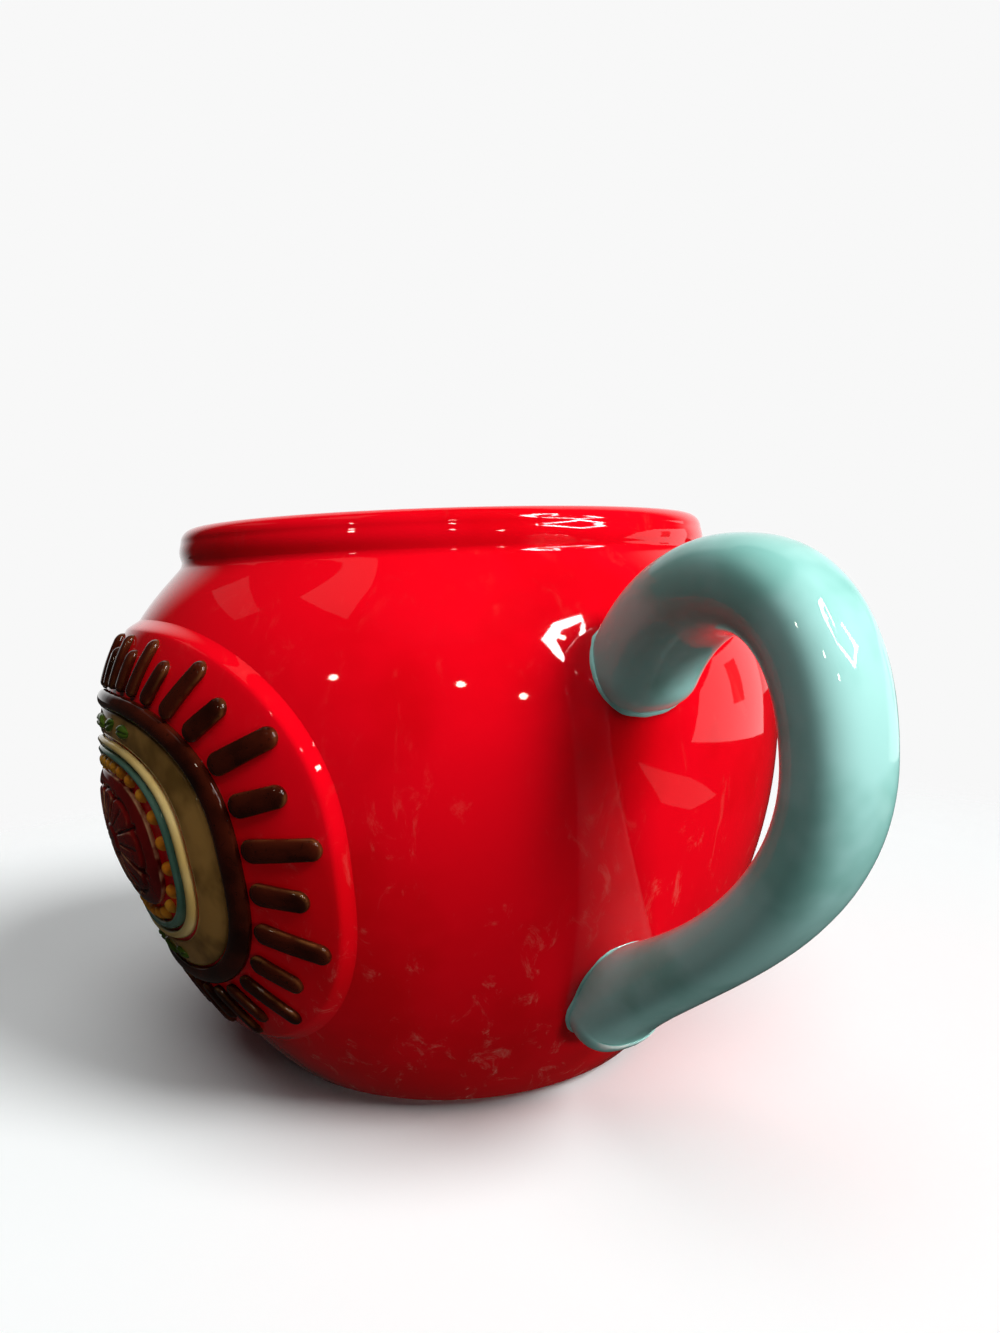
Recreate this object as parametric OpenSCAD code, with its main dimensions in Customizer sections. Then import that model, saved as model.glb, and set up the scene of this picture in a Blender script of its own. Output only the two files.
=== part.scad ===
// Round glazed mug with a short rolled collar, a looped tube handle and a raised sunburst medallion.
// Millimetres. The origin is the centre of the foot ring's resting face, +Z is up and +X is the
// side that the handle stands on. The medallion faces -Y, a quarter turn from the handle.

/* [Body] */
// Height from the foot ring to the top of the lip
body_h = 93.5; // [86:0.5:104]
// Outer radius at the widest part of the belly
belly_r = 59; // [54:1:66]
// Height of the widest part of the belly
belly_z = 59.5; // [53:0.5:63]
// Outer radius of the underside's rounded edge
base_r = 35.2; // [34:0.2:39]
// Thickness of the wall
wall_t = 4.5; // [3:0.25:6]
// Thickness of the floor above the foot ring's recess
floor_t = 5; // [3:0.5:8]

/* [Collar] */
// Outer radius of the rolled collar
collar_r = 46.4; // [43:0.2:49]
// Height of the collar above the shoulder
collar_h = 5.6; // [4.8:0.2:8]
// Thickness of the lip, which ends in a half round
lip_t = 4.8; // [3.6:0.2:5.4]
// How far the collar's side bulges outwards
collar_bulge = 0.3; // [0:0.1:0.8]
// Radius of the hollow between the shoulder and the collar
neck_fillet = 1.8; // [1:0.2:3]

/* [Foot] */
// Outer radius of the foot ring
foot_r = 31; // [28:0.5:32]
// Width of the foot ring
foot_w = 4; // [3:0.5:7]
// Height of the foot ring
foot_h = 1.5; // [1:0.1:2.5]

/* [Handle] */
// How far the tube's centre line stands out past the belly
handle_reach = 31.8; // [28:0.2:38]
// Drop from the lip to the centre of the upper joint
handle_upper_drop = 23; // [21:0.1:27]
// Height of the centre of the lower joint
handle_lower_z = 19.8; // [17:0.2:25]
// Rise of the tube where it leaves the upper joint, in degrees from level
handle_upper_lean = 58; // [46:1:66]
// Rise of the tube where it leaves the lower joint, in degrees from level
handle_lower_lean = 52; // [38:1:60]
// Thickness of the tube seen from the side, at its outermost point
handle_thick = 11; // [9:0.2:13]
// Width of the tube seen from outside, at its outermost point
handle_wide = 13.4; // [11:0.2:17]

/* [Medallion] */
// Half of the medallion's width, measured round the belly
med_half_w = 50; // [40:1:56]
// Distance from the collar's hollow down to the medallion
med_top_gap = 8; // [5:1:16]
// Height of the medallion's lower edge above the foot ring
med_low_gap = 11; // [8:1:18]
// Height of the plinth above the wall
plinth_h = 1.3; // [0.8:0.1:2]
// Thickness of the tan field
field_t = 0.6; // [0.4:0.1:1]
// Height of the domed boss above the plinth
boss_h = 2.2; // [1:0.1:3]
// Height of the brown band above the plinth
band_h = 1.3; // [0.8:0.1:2]
// Height of the rays above the plinth
ray_h = 1.2; // [0.8:0.1:2]
// Number of rays round the medallion
ray_count = 36; // [24:2:44]
// Height of the cream and teal rings above the plinth
ring_h = 1.1; // [0.7:0.1:1.8]
// Radius of each bead
bead_r = 1.15; // [0.8:0.05:1.3]
// Number of beads round the boss
bead_count = 28; // [16:2:32]
// Length of each leaf
leaf_len = 5; // [3.5:0.1:5.5]
// Width of each leaf
leaf_w = 2.2; // [1.4:0.1:2.6]
// Height of each leaf above the field
leaf_h = 0.6; // [0.4:0.1:1]

/* [Hidden] */

// Curve of the wall: how strongly it leaves the base, the belly and the shoulder
base_lean = 44;
base_pull = 3;
belly_pull_down = 33.3;
belly_pull_up = 15.5;
shoulder_pull = 6.6;
shoulder_lean = 48;
base_round = 1.5;
foot_round = 0.6;
floor_r = 16;
floor_pull = 24;

// Curve of the handle: how strongly the tube leaves each joint and its outermost point
handle_upper_pull = 18;
handle_lower_pull = 8;
handle_bow_up = 25.5;
handle_bow_down = 22.5;
// Place of the outermost point between the joints, and the tube's section at even steps along it
handle_top_share = 0.835;
handle_thick_shares = [1.14, 1.10, 0.98, 0.86, 1.22];
handle_wide_shares = [1.18, 1.10, 0.95, 0.97, 1.09];

// Squareness of the tube's section: 2 is an ellipse
handle_power = 2.5;

// Gap between pieces that are luted together
seat_gap = 0.1;

// Medallion: squareness of its outline, and where each ring lies from its centre to its edge
med_power = 2.6;
med_angle = -90;
bevel_share = 0.955;
boss_share = 0.31;
bead_share = 0.35;
teal_shares = [0.385, 0.42];
cream_shares = [0.43, 0.465];
field_shares = [0.48, 0.595];
band_shares = [0.605, 0.68];
ray_shares = [0.695, 0.94];
short_ray_share = 0.88;
ray_width_share = 0.58;
leaf_place_share = 0.5375;
leaf_angles = [62, 80, 100, 118];
leaf_tilt = 66;
// Share of the plinth's and the boss's height that their edges stand, and of a finger's width at its tip
plinth_edge_share = 0.2;
boss_edge_share = 0.2;
tip_share = 0.95;

// Steps of the curves
round_sides = 180;
low_steps = 26;
up_steps = 16;
arc_steps = 6;
tube_sides = 24;
tube_steps = 34;
cap_steps = 4;
med_sides = 72;
dome_steps = 7;
bead_sides = 24;
plinth_steps = 12;
field_steps = 3;
back_steps = 6;
turn_step = 30;

// Point of a cubic curve with four control points
function curve_point(p, t) = pow(1 - t, 3) * p[0] + 3 * pow(1 - t, 2) * t * p[1]
    + 3 * (1 - t) * t * t * p[2] + pow(t, 3) * p[3];
function curve_points(p, steps, first) = [for (i = [first : steps]) curve_point(p, i / steps)];
function polar(r, a) = r * [cos(a), sin(a)];
function arc_points(c, r, a0, a1, first) =
    [for (i = [first : arc_steps]) c + polar(r, a0 + (a1 - a0) * i / arc_steps)];

// Smooth value at share s of the way along an evenly spaced list
function list_at(v, i) = v[max(0, min(len(v) - 1, i))];
function smooth_at(v, s) = let (
        x = max(0, min(1, s)) * (len(v) - 1),
        i = min(floor(x), len(v) - 2),
        f = x - i,
        a = list_at(v, i - 1),
        b = list_at(v, i),
        c = list_at(v, i + 1),
        d = list_at(v, i + 2))
    b + f * (c - a + f * (2 * a - 5 * b + 4 * c - d + f * (3 * (b - c) + d - a))) / 2;

// Outer outline of the wall, from the base to the collar, as [radius, height]
base_c = [base_r - base_round, foot_h + base_round];
wall_start = base_c + polar(base_round, base_lean - 90);
neck_z = body_h - collar_h;
neck_turn = 90 - shoulder_lean;
neck_c = [collar_r + neck_fillet, neck_z];
shoulder_end = neck_c - polar(neck_fillet, neck_turn);
shoulder_dir = [cos(shoulder_lean), -sin(shoulder_lean)];
low_curve = [wall_start, wall_start + polar(base_pull, base_lean),
    [belly_r, belly_z - belly_pull_down], [belly_r, belly_z]];
up_curve = [[belly_r, belly_z], [belly_r, belly_z + belly_pull_up],
    shoulder_end + shoulder_pull * shoulder_dir, shoulder_end];
lip_r = lip_t / 2;
lip_z = body_h - lip_r;
collar_side = [for (i = [1 : arc_steps - 1])
    [collar_r + collar_bulge * sin(180 * i / arc_steps), neck_z + (lip_z - neck_z) * i / arc_steps]];
wall_points = concat(
    curve_points(low_curve, low_steps, 0),
    curve_points(up_curve, up_steps, 1),
    arc_points(neck_c, neck_fillet, 180 + neck_turn, 180, 1),
    collar_side);
wall_table = [for (p = wall_points) [p.y, p.x]];
function wall_r(z) = lookup(z, wall_table);

// Inner outline, from the throat down to the floor
throat_r = collar_r - lip_t;
floor_z = foot_h + floor_t;
inner_top = [throat_r, neck_z - neck_fillet];
inner_belly = [belly_r - wall_t, belly_z];
inner_up = [inner_top, inner_top + shoulder_pull * shoulder_dir,
    inner_belly + [0, belly_pull_up - wall_t], inner_belly];
inner_low = [inner_belly, inner_belly - [0, belly_pull_down - wall_t], [floor_r + floor_pull, floor_z],
    [floor_r, floor_z]];
inner_points = concat(
    curve_points(inner_up, up_steps, 0),
    curve_points(inner_low, low_steps, 1));

// Foot ring with softened edges, and the underside out to the wall
foot_in = foot_r - foot_w;
foot_points = concat(
    [[0, foot_h], [foot_in, foot_h]],
    arc_points([foot_in + foot_round, foot_round], foot_round, 180, 270, 0),
    arc_points([foot_r - foot_round, foot_round], foot_round, 270, 360, 0),
    [[foot_r, foot_h]],
    arc_points(base_c, base_round, -90, base_lean - 90, 0));

module body_outline() {
    polygon(concat(
        foot_points,
        [for (i = [1 : len(wall_points) - 1]) wall_points[i]],
        arc_points([collar_r - lip_r, lip_z], lip_r, 0, 180, 0),
        inner_points,
        [[0, floor_z]]));
}

module body() {
    color("red")
        rotate_extrude($fn = round_sides)
            body_outline();
}

// Faces between rings of points that each have n points. The rings close on themselves, or end
// in single points placed before the first ring and after the last one.
function quad(a, b, c, d) = [[a, b, c], [a, c, d]];
function side_faces(rings, n, first, loop) = [
    for (i = [0 : rings - (loop ? 1 : 2)], j = [0 : n - 1])
        let (p = first + i * n, q = first + ((i + 1) % rings) * n, k = (j + 1) % n)
            each quad(p + j, q + j, q + k, p + k)];
function end_faces(n, first, rings) = concat(
    [for (j = [0 : n - 1]) [0, first + j, first + (j + 1) % n]],
    [for (j = [0 : n - 1])
        let (p = first + (rings - 1) * n) [first + rings * n, p + (j + 1) % n, p + j]]);

// Solid through rings that run from one end point to the other
module ringed(start, rings, end) {
    n = len(rings[0]);
    polyhedron(
        points = concat([start], [for (r = rings) each r], [end]),
        faces = concat(side_faces(len(rings), n, 1, false), end_faces(n, 1, len(rings))));
}

// Centre line of the handle in the plane of the body's axis, as [radius, height]
handle_upper_z = body_h - handle_upper_drop;
handle_top_z = handle_lower_z + (handle_upper_z - handle_lower_z) * handle_top_share;
upper_joint = [wall_r(handle_upper_z), handle_upper_z];
lower_joint = [wall_r(handle_lower_z), handle_lower_z];
outermost = [belly_r + handle_reach, handle_top_z];
handle_over = [upper_joint, upper_joint + polar(handle_upper_pull, handle_upper_lean),
    outermost + [0, handle_bow_up], outermost];
handle_under = [outermost, outermost - [0, handle_bow_down],
    lower_joint + polar(handle_lower_pull, handle_lower_lean), lower_joint];
function handle_centre(s) = s < 0.5 ? curve_point(handle_over, 2 * s)
    : curve_point(handle_under, 2 * s - 1);
function unit(v) = v / norm(v);
eps_share = 0.001;
function handle_dir(s) = unit(
    handle_centre(min(1, s + eps_share)) - handle_centre(max(0, s - eps_share)));

// A point inside the wall moves straight out to the wall's surface, where the tube is seated
function seated(p) = let (
        r = norm([p.x, p.y]),
        w = wall_r(p.z) + seat_gap)
    r < w ? [p.x * w / r, p.y * w / r, p.z] : p;

// Squared cosine or sine of the tube's section
function squared(c) = sign(c) * pow(abs(c), 2 / handle_power);

// Ring of the tube at share s, pushed along by a share of its thickness and drawn in to fit
function tube_ring(s, push, draw) = let (
        c = handle_centre(s),
        d = handle_dir(s),
        a = handle_thick / 2 * smooth_at(handle_thick_shares, s),
        b = handle_wide / 2 * smooth_at(handle_wide_shares, s),
        o = c + push * a * d)
    [for (j = [0 : tube_sides - 1])
        let (
            u = a * draw * squared(cos(360 * j / tube_sides)),
            v = b * draw * squared(sin(360 * j / tube_sides)))
            seated([o.x + u * d.y, v, o.y - u * d.x])];
function tube_tip(s, push) = let (
        o = handle_centre(s) + push * handle_thick / 2 * smooth_at(handle_thick_shares, s) * handle_dir(s))
    seated([o.x, 0, o.y]);

module handle() {
    cap = [for (i = [1 : cap_steps]) 90 - 90 * i / (cap_steps + 1)];
    color("mediumaquamarine")
        ringed(
            tube_tip(0, -1),
            concat(
                [for (a = cap) tube_ring(0, -sin(a), cos(a))],
                [for (i = [0 : tube_steps]) tube_ring(i / tube_steps, 0, 1)],
                [for (i = [cap_steps : -1 : 1]) tube_ring(1, sin(cap[i - 1]), cos(cap[i - 1]))]),
            tube_tip(1, 1));
}

// Medallion: x is measured round the belly, y up from the medallion's centre, h out from the wall
med_top = shoulder_end.y - med_top_gap;
med_half_h = (med_top - med_low_gap) / 2;
med_z = med_low_gap + med_half_h;
function on_wall(p, h) = let (
        z = med_z + p.y,
        a = med_angle + p.x / belly_r * 180 / PI,
        r = wall_r(z) + h)
    [r * cos(a), r * sin(a), z];
function med_edge(a) = pow(
    pow(abs(cos(a)) / med_half_w, med_power) + pow(abs(sin(a)) / med_half_h, med_power),
    -1 / med_power);
function med_point(t, a) = polar(t * med_edge(a), a);
function med_ring(t, h) = [for (j = [0 : med_sides - 1]) on_wall(med_point(t, 360 * j / med_sides), h)];
plinth_top = plinth_h + seat_gap;
field_top = plinth_top + field_t + seat_gap;

// Disc that lies on the wall or on the plinth: a flat back at height low, and a front outline
// given as [share, height] from its edge to its centre
module wall_disc(low, back_shares, front) {
    ringed(
        on_wall([0, 0], low),
        concat([for (t = back_shares) med_ring(t, low)], [for (f = front) med_ring(f[0], f[1])]),
        on_wall([0, 0], front[len(front) - 1][1]));
}

// Ring with the section given as [share, height], counted round its outline
module wall_ring(section) {
    polyhedron(
        points = [for (s = section) each med_ring(s[0], s[1])],
        faces = side_faces(len(section), med_sides, 0, true));
}

// Section of a rounded ring between two shares, with its back at height low and its crest at top
function round_section(shares, low, top) = let (
        mid = (shares[0] + shares[1]) / 2,
        half = (shares[1] - shares[0]) / 2)
    concat([[shares[0], low], [mid, low], [shares[1], low]],
        [for (a = [turn_step : turn_step : 180 - turn_step])
            [mid + half * cos(a), low + (top - low) * (1 + sin(a)) / 2]]);

module relief_plinth() {
    edge_h = plinth_h * plinth_edge_share;
    back_shares = [for (i = [1 : plinth_steps]) i / plinth_steps];
    front = concat(
        [for (a = [0 : turn_step : 90])
            [1 - (1 - bevel_share) * sin(a), edge_h + (plinth_h - edge_h) * (1 - cos(a))]],
        [for (i = [plinth_steps - 1 : -1 : 1]) [bevel_share * i / plinth_steps, plinth_h]]);
    color("crimson")
        wall_disc(seat_gap, back_shares, front);
}

module relief_field() {
    shares = [for (i = [0 : field_steps])
        field_shares[0] + (field_shares[1] - field_shares[0]) * i / field_steps];
    color("darkkhaki")
        wall_ring([
            for (t = shares) [t, plinth_top],
            for (i = [field_steps : -1 : 0]) [shares[i], plinth_top + field_t]]);
}

module relief_band() {
    color("saddlebrown")
        wall_ring(round_section(band_shares, plinth_top, plinth_top + band_h));
}

module relief_cream_ring() {
    color("moccasin")
        wall_ring(round_section(cream_shares, plinth_top, plinth_top + ring_h));
}

module relief_teal_ring() {
    color("cadetblue")
        wall_ring(round_section(teal_shares, plinth_top, plinth_top + ring_h));
}

module relief_boss() {
    front = [for (i = [0 : dome_steps])
        let (a = 90 * i / (dome_steps + 1))
            [boss_share * cos(a),
                plinth_top + boss_h * (boss_edge_share + (1 - boss_edge_share) * sin(a))]];
    color("darkred")
        wall_disc(plinth_top, [for (i = [1 : back_steps]) boss_share * i / back_steps], front);
}

// Low domed sprig: its outline is a list of [along, across] points on the medallion, given from
// one end to the other for its left side; it is closed by the same points on its right side
module sprig(at, dir, outline, low, top) {
    side = [-dir.y, dir.x];
    ring = [for (k = [0 : len(outline) - 1]) let (p = outline[k]) [
        on_wall(at + p.x * dir - p.y * side, low),
        on_wall(at + p.x * dir + p.y * side, low),
        on_wall(at + p.x * dir + p.y * side, low + (top - low) / 2),
        on_wall(at + p.x * dir + p.y / 2 * side, top),
        on_wall(at + p.x * dir - p.y / 2 * side, top),
        on_wall(at + p.x * dir - p.y * side, low + (top - low) / 2)]];
    last = outline[len(outline) - 1];
    ringed(
        on_wall(at + outline[0].x * dir, (low + top) / 2),
        ring,
        on_wall(at + last.x * dir, (low + top) / 2));
}

// Finger with straight, slightly tapering sides and a round tip
function finger_outline(length, half) = concat(
    [[0, half], [length / 3, half], [2 * length / 3, half * (1 + tip_share) / 2]],
    [for (a = [0 : turn_step : 90 - turn_step])
        [length - half * (1 - sin(a)), half * tip_share * cos(a)]]);

module relief_rays() {
    step = 360 / ray_count;
    color("brown")
        for (i = [0 : ray_count - 1]) {
            a = step * (i + 0.5);
            tip = i % 2 == 0 ? ray_shares[1] : short_ray_share;
            length = (tip - ray_shares[0]) * med_edge(a);
            spacing = ray_shares[0] * med_edge(a) * PI * step / 180;
            half = spacing * ray_width_share / 2;
            sprig(med_point(ray_shares[0], a), polar(1, a), finger_outline(length, half),
                plinth_top, plinth_top + ray_h);
        }
}

// Bead: half a ball whose flat back faces the wall
module relief_beads() {
    color("orange")
        for (i = [0 : bead_count - 1]) {
            p = med_point(bead_share, 360 * (i + 0.5) / bead_count);
            z = med_z + p.y;
            slope = (wall_r(z + bead_r) - wall_r(z - bead_r)) / (2 * bead_r);
            translate(on_wall(p, plinth_top))
                rotate([0, 90 + atan(slope), med_angle + p.x / belly_r * 180 / PI])
                    rotate_extrude($fn = bead_sides)
                        intersection() {
                            circle(bead_r, $fn = bead_sides);
                            square(bead_r);
                        }
        }
}

module relief_leaves() {
    half = [for (a = [0 : turn_step : 180]) [leaf_len * (1 - cos(a)) / 2, leaf_w / 2 * sin(a)]];
    outline = [for (k = [1 : len(half) - 2]) half[k]];
    color("olivedrab")
        for (a0 = leaf_angles, turn = [0, 180]) {
            a = a0 + turn;
            out = a0 < 90 ? -leaf_tilt : leaf_tilt;
            dir = polar(1, a + out);
            sprig(med_point(leaf_place_share, a) - leaf_len / 2 * dir, dir, outline,
                field_top, field_top + leaf_h);
        }
}

body();
handle();
relief_plinth();
relief_field();
relief_band();
relief_rays();
relief_cream_ring();
relief_teal_ring();
relief_boss();
relief_beads();
relief_leaves();
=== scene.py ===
# %% [markdown]
# # A glazed mug with a looped handle
# A slip-cast stoneware mug: a round, bright red body with a short rolled collar, a thick aqua
# tube handle, and a raised sunburst medallion on its side. The fixed frame is the CAD model.
# Blender gives each piece of it a finer mesh and a glaze. Lengths below are in millimetres, and
# one factor turns them into metres, so they read like a potter's notes.

# %% Load the frame
import math

import bpy
import numpy as np
from mathutils import Matrix, Vector, noise


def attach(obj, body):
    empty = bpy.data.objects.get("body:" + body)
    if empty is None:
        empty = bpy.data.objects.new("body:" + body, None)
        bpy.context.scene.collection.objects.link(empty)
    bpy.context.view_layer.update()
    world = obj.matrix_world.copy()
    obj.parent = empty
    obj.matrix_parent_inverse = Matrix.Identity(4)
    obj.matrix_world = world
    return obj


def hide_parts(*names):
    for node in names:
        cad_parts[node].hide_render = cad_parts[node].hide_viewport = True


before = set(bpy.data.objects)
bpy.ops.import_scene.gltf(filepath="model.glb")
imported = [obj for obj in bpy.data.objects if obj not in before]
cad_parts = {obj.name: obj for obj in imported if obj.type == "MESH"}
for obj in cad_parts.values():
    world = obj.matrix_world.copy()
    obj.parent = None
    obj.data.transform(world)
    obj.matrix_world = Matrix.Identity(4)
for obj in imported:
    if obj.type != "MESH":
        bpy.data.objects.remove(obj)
bpy.context.view_layer.update()
MM = 0.001
bpy.ops.object.select_all(action="DESELECT")
print("nodes:", sorted(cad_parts))

# %% [markdown]
# ## The camera
# The photograph was taken from very near, about one and a half mug widths away and a little
# below the rim, so the near side looks large. A camera can be placed by eye, but a near view
# shows every error, so its place comes from matching the mug's outline: where it stands, the
# point that it looks at and a slight roll. The focal length is given in pixels of the
# photograph, whose long side is the sensor's width.

# %% Place the camera
PHOTO_LONG = 1333
FOCAL = 1000
SENSOR = 36
CAMERA_AT = Vector((165.0, -85.9, 82.9))
LOOKS_AT = Vector((0, 11.0, 66.6))
CAMERA_ROLL = -2
NEAREST = 5


def look(to, roll=0):
    """Turn of a camera or lamp that looks along a direction, level or rolled by some degrees."""
    back = -Vector(to).normalized()
    side = Vector((0, 0, 1)).cross(back).normalized()
    level = Matrix((side, back.cross(side), back)).transposed()
    return (level @ Matrix.Rotation(math.radians(roll), 3, "Z")).to_euler()


scene = bpy.context.scene
scene.view_settings.view_transform = "Standard"
bpy.ops.object.camera_add(
    location=CAMERA_AT * MM, rotation=look(LOOKS_AT - CAMERA_AT, CAMERA_ROLL))
camera = bpy.context.object
camera.name = "photo_camera"
camera.data.sensor_width = SENSOR
camera.data.lens = SENSOR * FOCAL / PHOTO_LONG
camera.data.clip_start = NEAREST * MM
camera.data.dof.use_dof = False
scene.camera = camera
print("lens in mm:", round(camera.data.lens, 2))

# %% [markdown]
# ## Colours and small node helpers
# Colours are easier to pick as the eye sees them, from 0 to 255, and Blender's shaders want
# light in linear steps, so one helper converts them. Another one adds a node with its settings
# in one line, which keeps the glaze recipes short.

# %% Colour and node helpers


def rgb(red, green, blue):
    """A seen colour, 0 to 255, as the linear colour that a shader takes."""
    steps = [c / 255 for c in (red, green, blue)]
    return tuple(c / 12.92 if c <= 0.04045 else ((c + 0.055) / 1.055) ** 2.4 for c in steps) + (1,)


def node(tree, kind, values=None, **settings):
    """Adds a shader node, sets its settings and the values of its sockets."""
    made = tree.nodes.new("ShaderNode" + kind)
    for key, value in settings.items():
        setattr(made, key, value)
    for key, value in (values or {}).items():
        made.inputs[key].default_value = value
    return made


def ramp(tree, low, high, source):
    """Spreads a number between low and high over 0 to 1, with soft ends."""
    made = node(tree, "MapRange", {1: low, 2: high, 3: 0, 4: 1}, interpolation_type="SMOOTHSTEP")
    tree.links.new(source, made.inputs[0])
    return made.outputs[0]


def mix(tree, amount, first, second):
    """Mixes two colours by a number or by another node's output."""
    made = node(tree, "Mix", data_type="RGBA")
    for socket, value in zip((0, 6, 7), (amount, first, second)):
        if hasattr(value, "links"):
            tree.links.new(value, made.inputs[socket])
        else:
            made.inputs[socket].default_value = value
    return made.outputs[2]


def combine(tree, first, second, operation="MULTIPLY"):
    """Multiplies two numbers with a Math node, or joins them by another of its operations."""
    made = node(tree, "Math", operation=operation)
    for socket, value in enumerate((first, second)):
        if hasattr(value, "links"):
            tree.links.new(value, made.inputs[socket])
        else:
            made.inputs[socket].default_value = value
    return made.outputs[0]


print("a seen mid grey is", round(rgb(128, 128, 128)[0], 3), "in linear light")

# %% [markdown]
# ## The studio
# The mug stands on a pale floor in front of a pale backdrop. A far lamp, the window, gives most
# of the light from the right and above. Three weaker ones stand for the rest of the room, and
# the sky's glow fills the shadows. Shiny glaze is a mirror, so what it mirrors matters as much
# as what lights it: bright panels draw the window's highlights, and dark flags, as photographers
# use, keep the red deep on the side of the camera.

# %% Pale backdrop in the world
PALE = rgb(248, 248, 248)
SKY_LOW, SKY_HIGH = 0.005, 0.03

scene.world = bpy.data.worlds.new("studio")
scene.world.use_nodes = True
sky = scene.world.node_tree
sky.nodes.clear()
rays = node(sky, "LightPath")
mirrored = combine(sky, rays.outputs["Is Glossy Ray"], rays.outputs["Is Transmission Ray"], "MAXIMUM")
seen = combine(sky, mirrored, rays.outputs["Is Camera Ray"], "MAXIMUM")
where = node(sky, "TexCoord")
height = node(sky, "SeparateXYZ")
sky.links.new(where.outputs["Generated"], height.inputs[0])
glow = node(sky, "MapRange", {1: 0.0, 2: 1.0, 3: SKY_LOW, 4: SKY_HIGH})
sky.links.new(height.outputs[2], glow.inputs[0])
level = node(sky, "Mix", data_type="FLOAT")
sky.links.new(seen, level.inputs[0])
sky.links.new(glow.outputs[0], level.inputs[2])
level.inputs[3].default_value = PALE[0]
backdrop = node(sky, "Background")
sky.links.new(level.outputs[0], backdrop.inputs["Color"])
sky.links.new(backdrop.outputs[0], node(sky, "OutputWorld").inputs["Surface"])
print("backdrop level:", round(PALE[0], 3))

# %% Floor
FLOOR_R, FLOOR_DROP = 500, 0.1
FADE_START, FADE_END = 170, 270
PAPER = (0.95, 0.975, 0.975, 1)
PAPER_BOUNCE = (0.16, 0.16, 0.16, 1)

bpy.ops.mesh.primitive_circle_add(
    vertices=128, radius=FLOOR_R * MM, fill_type="TRIFAN", location=(0, 0, -FLOOR_DROP * MM))
floor = bpy.context.object
floor.name = "floor"
paper = bpy.data.materials.new("floor_paper")
paper.use_nodes = True
tree = paper.node_tree
tree.nodes.clear()
rays = node(tree, "LightPath")
matt = node(tree, "BsdfDiffuse")
tree.links.new(mix(tree, rays.outputs["Is Diffuse Ray"], PAPER, PAPER_BOUNCE), matt.inputs["Color"])
away = node(tree, "VectorMath", operation="LENGTH")
tree.links.new(node(tree, "TexCoord").outputs["Object"], away.inputs[0])
joined = node(tree, "MixShader")
tree.links.new(ramp(tree, FADE_START * MM, FADE_END * MM, away.outputs["Value"]), joined.inputs[0])
tree.links.new(matt.outputs[0], joined.inputs[1])
tree.links.new(node(tree, "BsdfTransparent").outputs[0], joined.inputs[2])
tree.links.new(joined.outputs[0], node(tree, "OutputMaterial").inputs["Surface"])
floor.data.materials.append(paper)
print("floor fades out from", FADE_START, "to", FADE_END, "mm")

# %% Lamps


def toward(azimuth, elevation):
    """Direction from the mug, by degrees round from +X and degrees up."""
    a, e = math.radians(azimuth), math.radians(elevation)
    return Vector((math.cos(a) * math.cos(e), math.sin(a) * math.cos(e), math.sin(e)))


def far_lamp(name, azimuth, elevation, strength, spread):
    """A lamp so far away that it lights floor and mug evenly, with soft shadows."""
    bpy.ops.object.light_add(
        type="SUN", location=toward(azimuth, elevation),
        rotation=look(-toward(azimuth, elevation)))
    lamp = bpy.context.object
    lamp.name = name
    lamp.data.energy = strength
    lamp.data.angle = math.radians(spread)
    lamp.visible_glossy = False


# Degrees round, degrees up, strength and width in degrees
LAMPS = {
    "window_lamp": (26, 38, 2.8, 22),
    "room_lamp": (15, 5, 0.8, 14),
    "side_lamp": (56, 10, 0.4, 23),
    "top_lamp": (-26, 69, 1.3, 44),
}
for name, facts in LAMPS.items():
    far_lamp(name, *facts)
print("lamps:", list(LAMPS))

# %% Panels that the glaze mirrors
PANEL_FAR = 800
PANELS_ROUND = Vector((0, 0, 70))


def glowing(name, colour, strength):
    """A material that only shines."""
    made = bpy.data.materials.new(name)
    made.use_nodes = True
    made.node_tree.nodes.clear()
    shine = node(made.node_tree, "Emission", {"Color": colour, "Strength": strength})
    made.node_tree.links.new(
        shine.outputs[0], node(made.node_tree, "OutputMaterial").inputs["Surface"])
    return made


def spots(corners, far=PANEL_FAR):
    """Points in the given directions, as degrees round and up, seen from the mug's middle."""
    return [(toward(*corner) * far + PANELS_ROUND) * MM for corner in corners]


def mirror_only(piece):
    """Lets only shiny surfaces see a piece, and stages it."""
    for rays_seen in ("camera", "diffuse", "transmission", "volume_scatter", "shadow"):
        setattr(piece, "visible_" + rays_seen, False)


def mirrored_panel(name, corners, material):
    """A flat face between the given points. Only shiny surfaces see it."""
    bpy.ops.mesh.primitive_circle_add(vertices=len(corners), radius=1, fill_type="NGON")
    panel = bpy.context.object
    panel.name = name
    for point, corner in zip(panel.data.vertices, corners):
        point.co = corner
    panel.data.materials.append(material)
    mirror_only(panel)


WHITE, WARM, AMBER = (1, 1, 1, 1), (1, 0.95, 0.9, 1), (1, 0.9, 0.75, 1)
window_light = glowing("window_light", WHITE, 40)
WINDOW_BARS = {
    "window_left": [(9, 43), (20, 50), (20.5, 45.5), (14.5, 41), (12.5, 27), (10, 35)],
    "window_top": [(20, 50), (36, 50), (32, 47), (20.5, 45.5)],
    "window_right": [(36, 50), (27, 40), (21, 32), (24.5, 41), (32, 47)],
    "window_sill": [(16, 29), (30.5, 19.5), (40, 23), (37, 34),
                    (40, 34), (44, 22), (30, 17), (14, 27)],
}
for name, corners in WINDOW_BARS.items():
    mirrored_panel(name, spots(corners), window_light)
print("window bars:", len(WINDOW_BARS))

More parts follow.
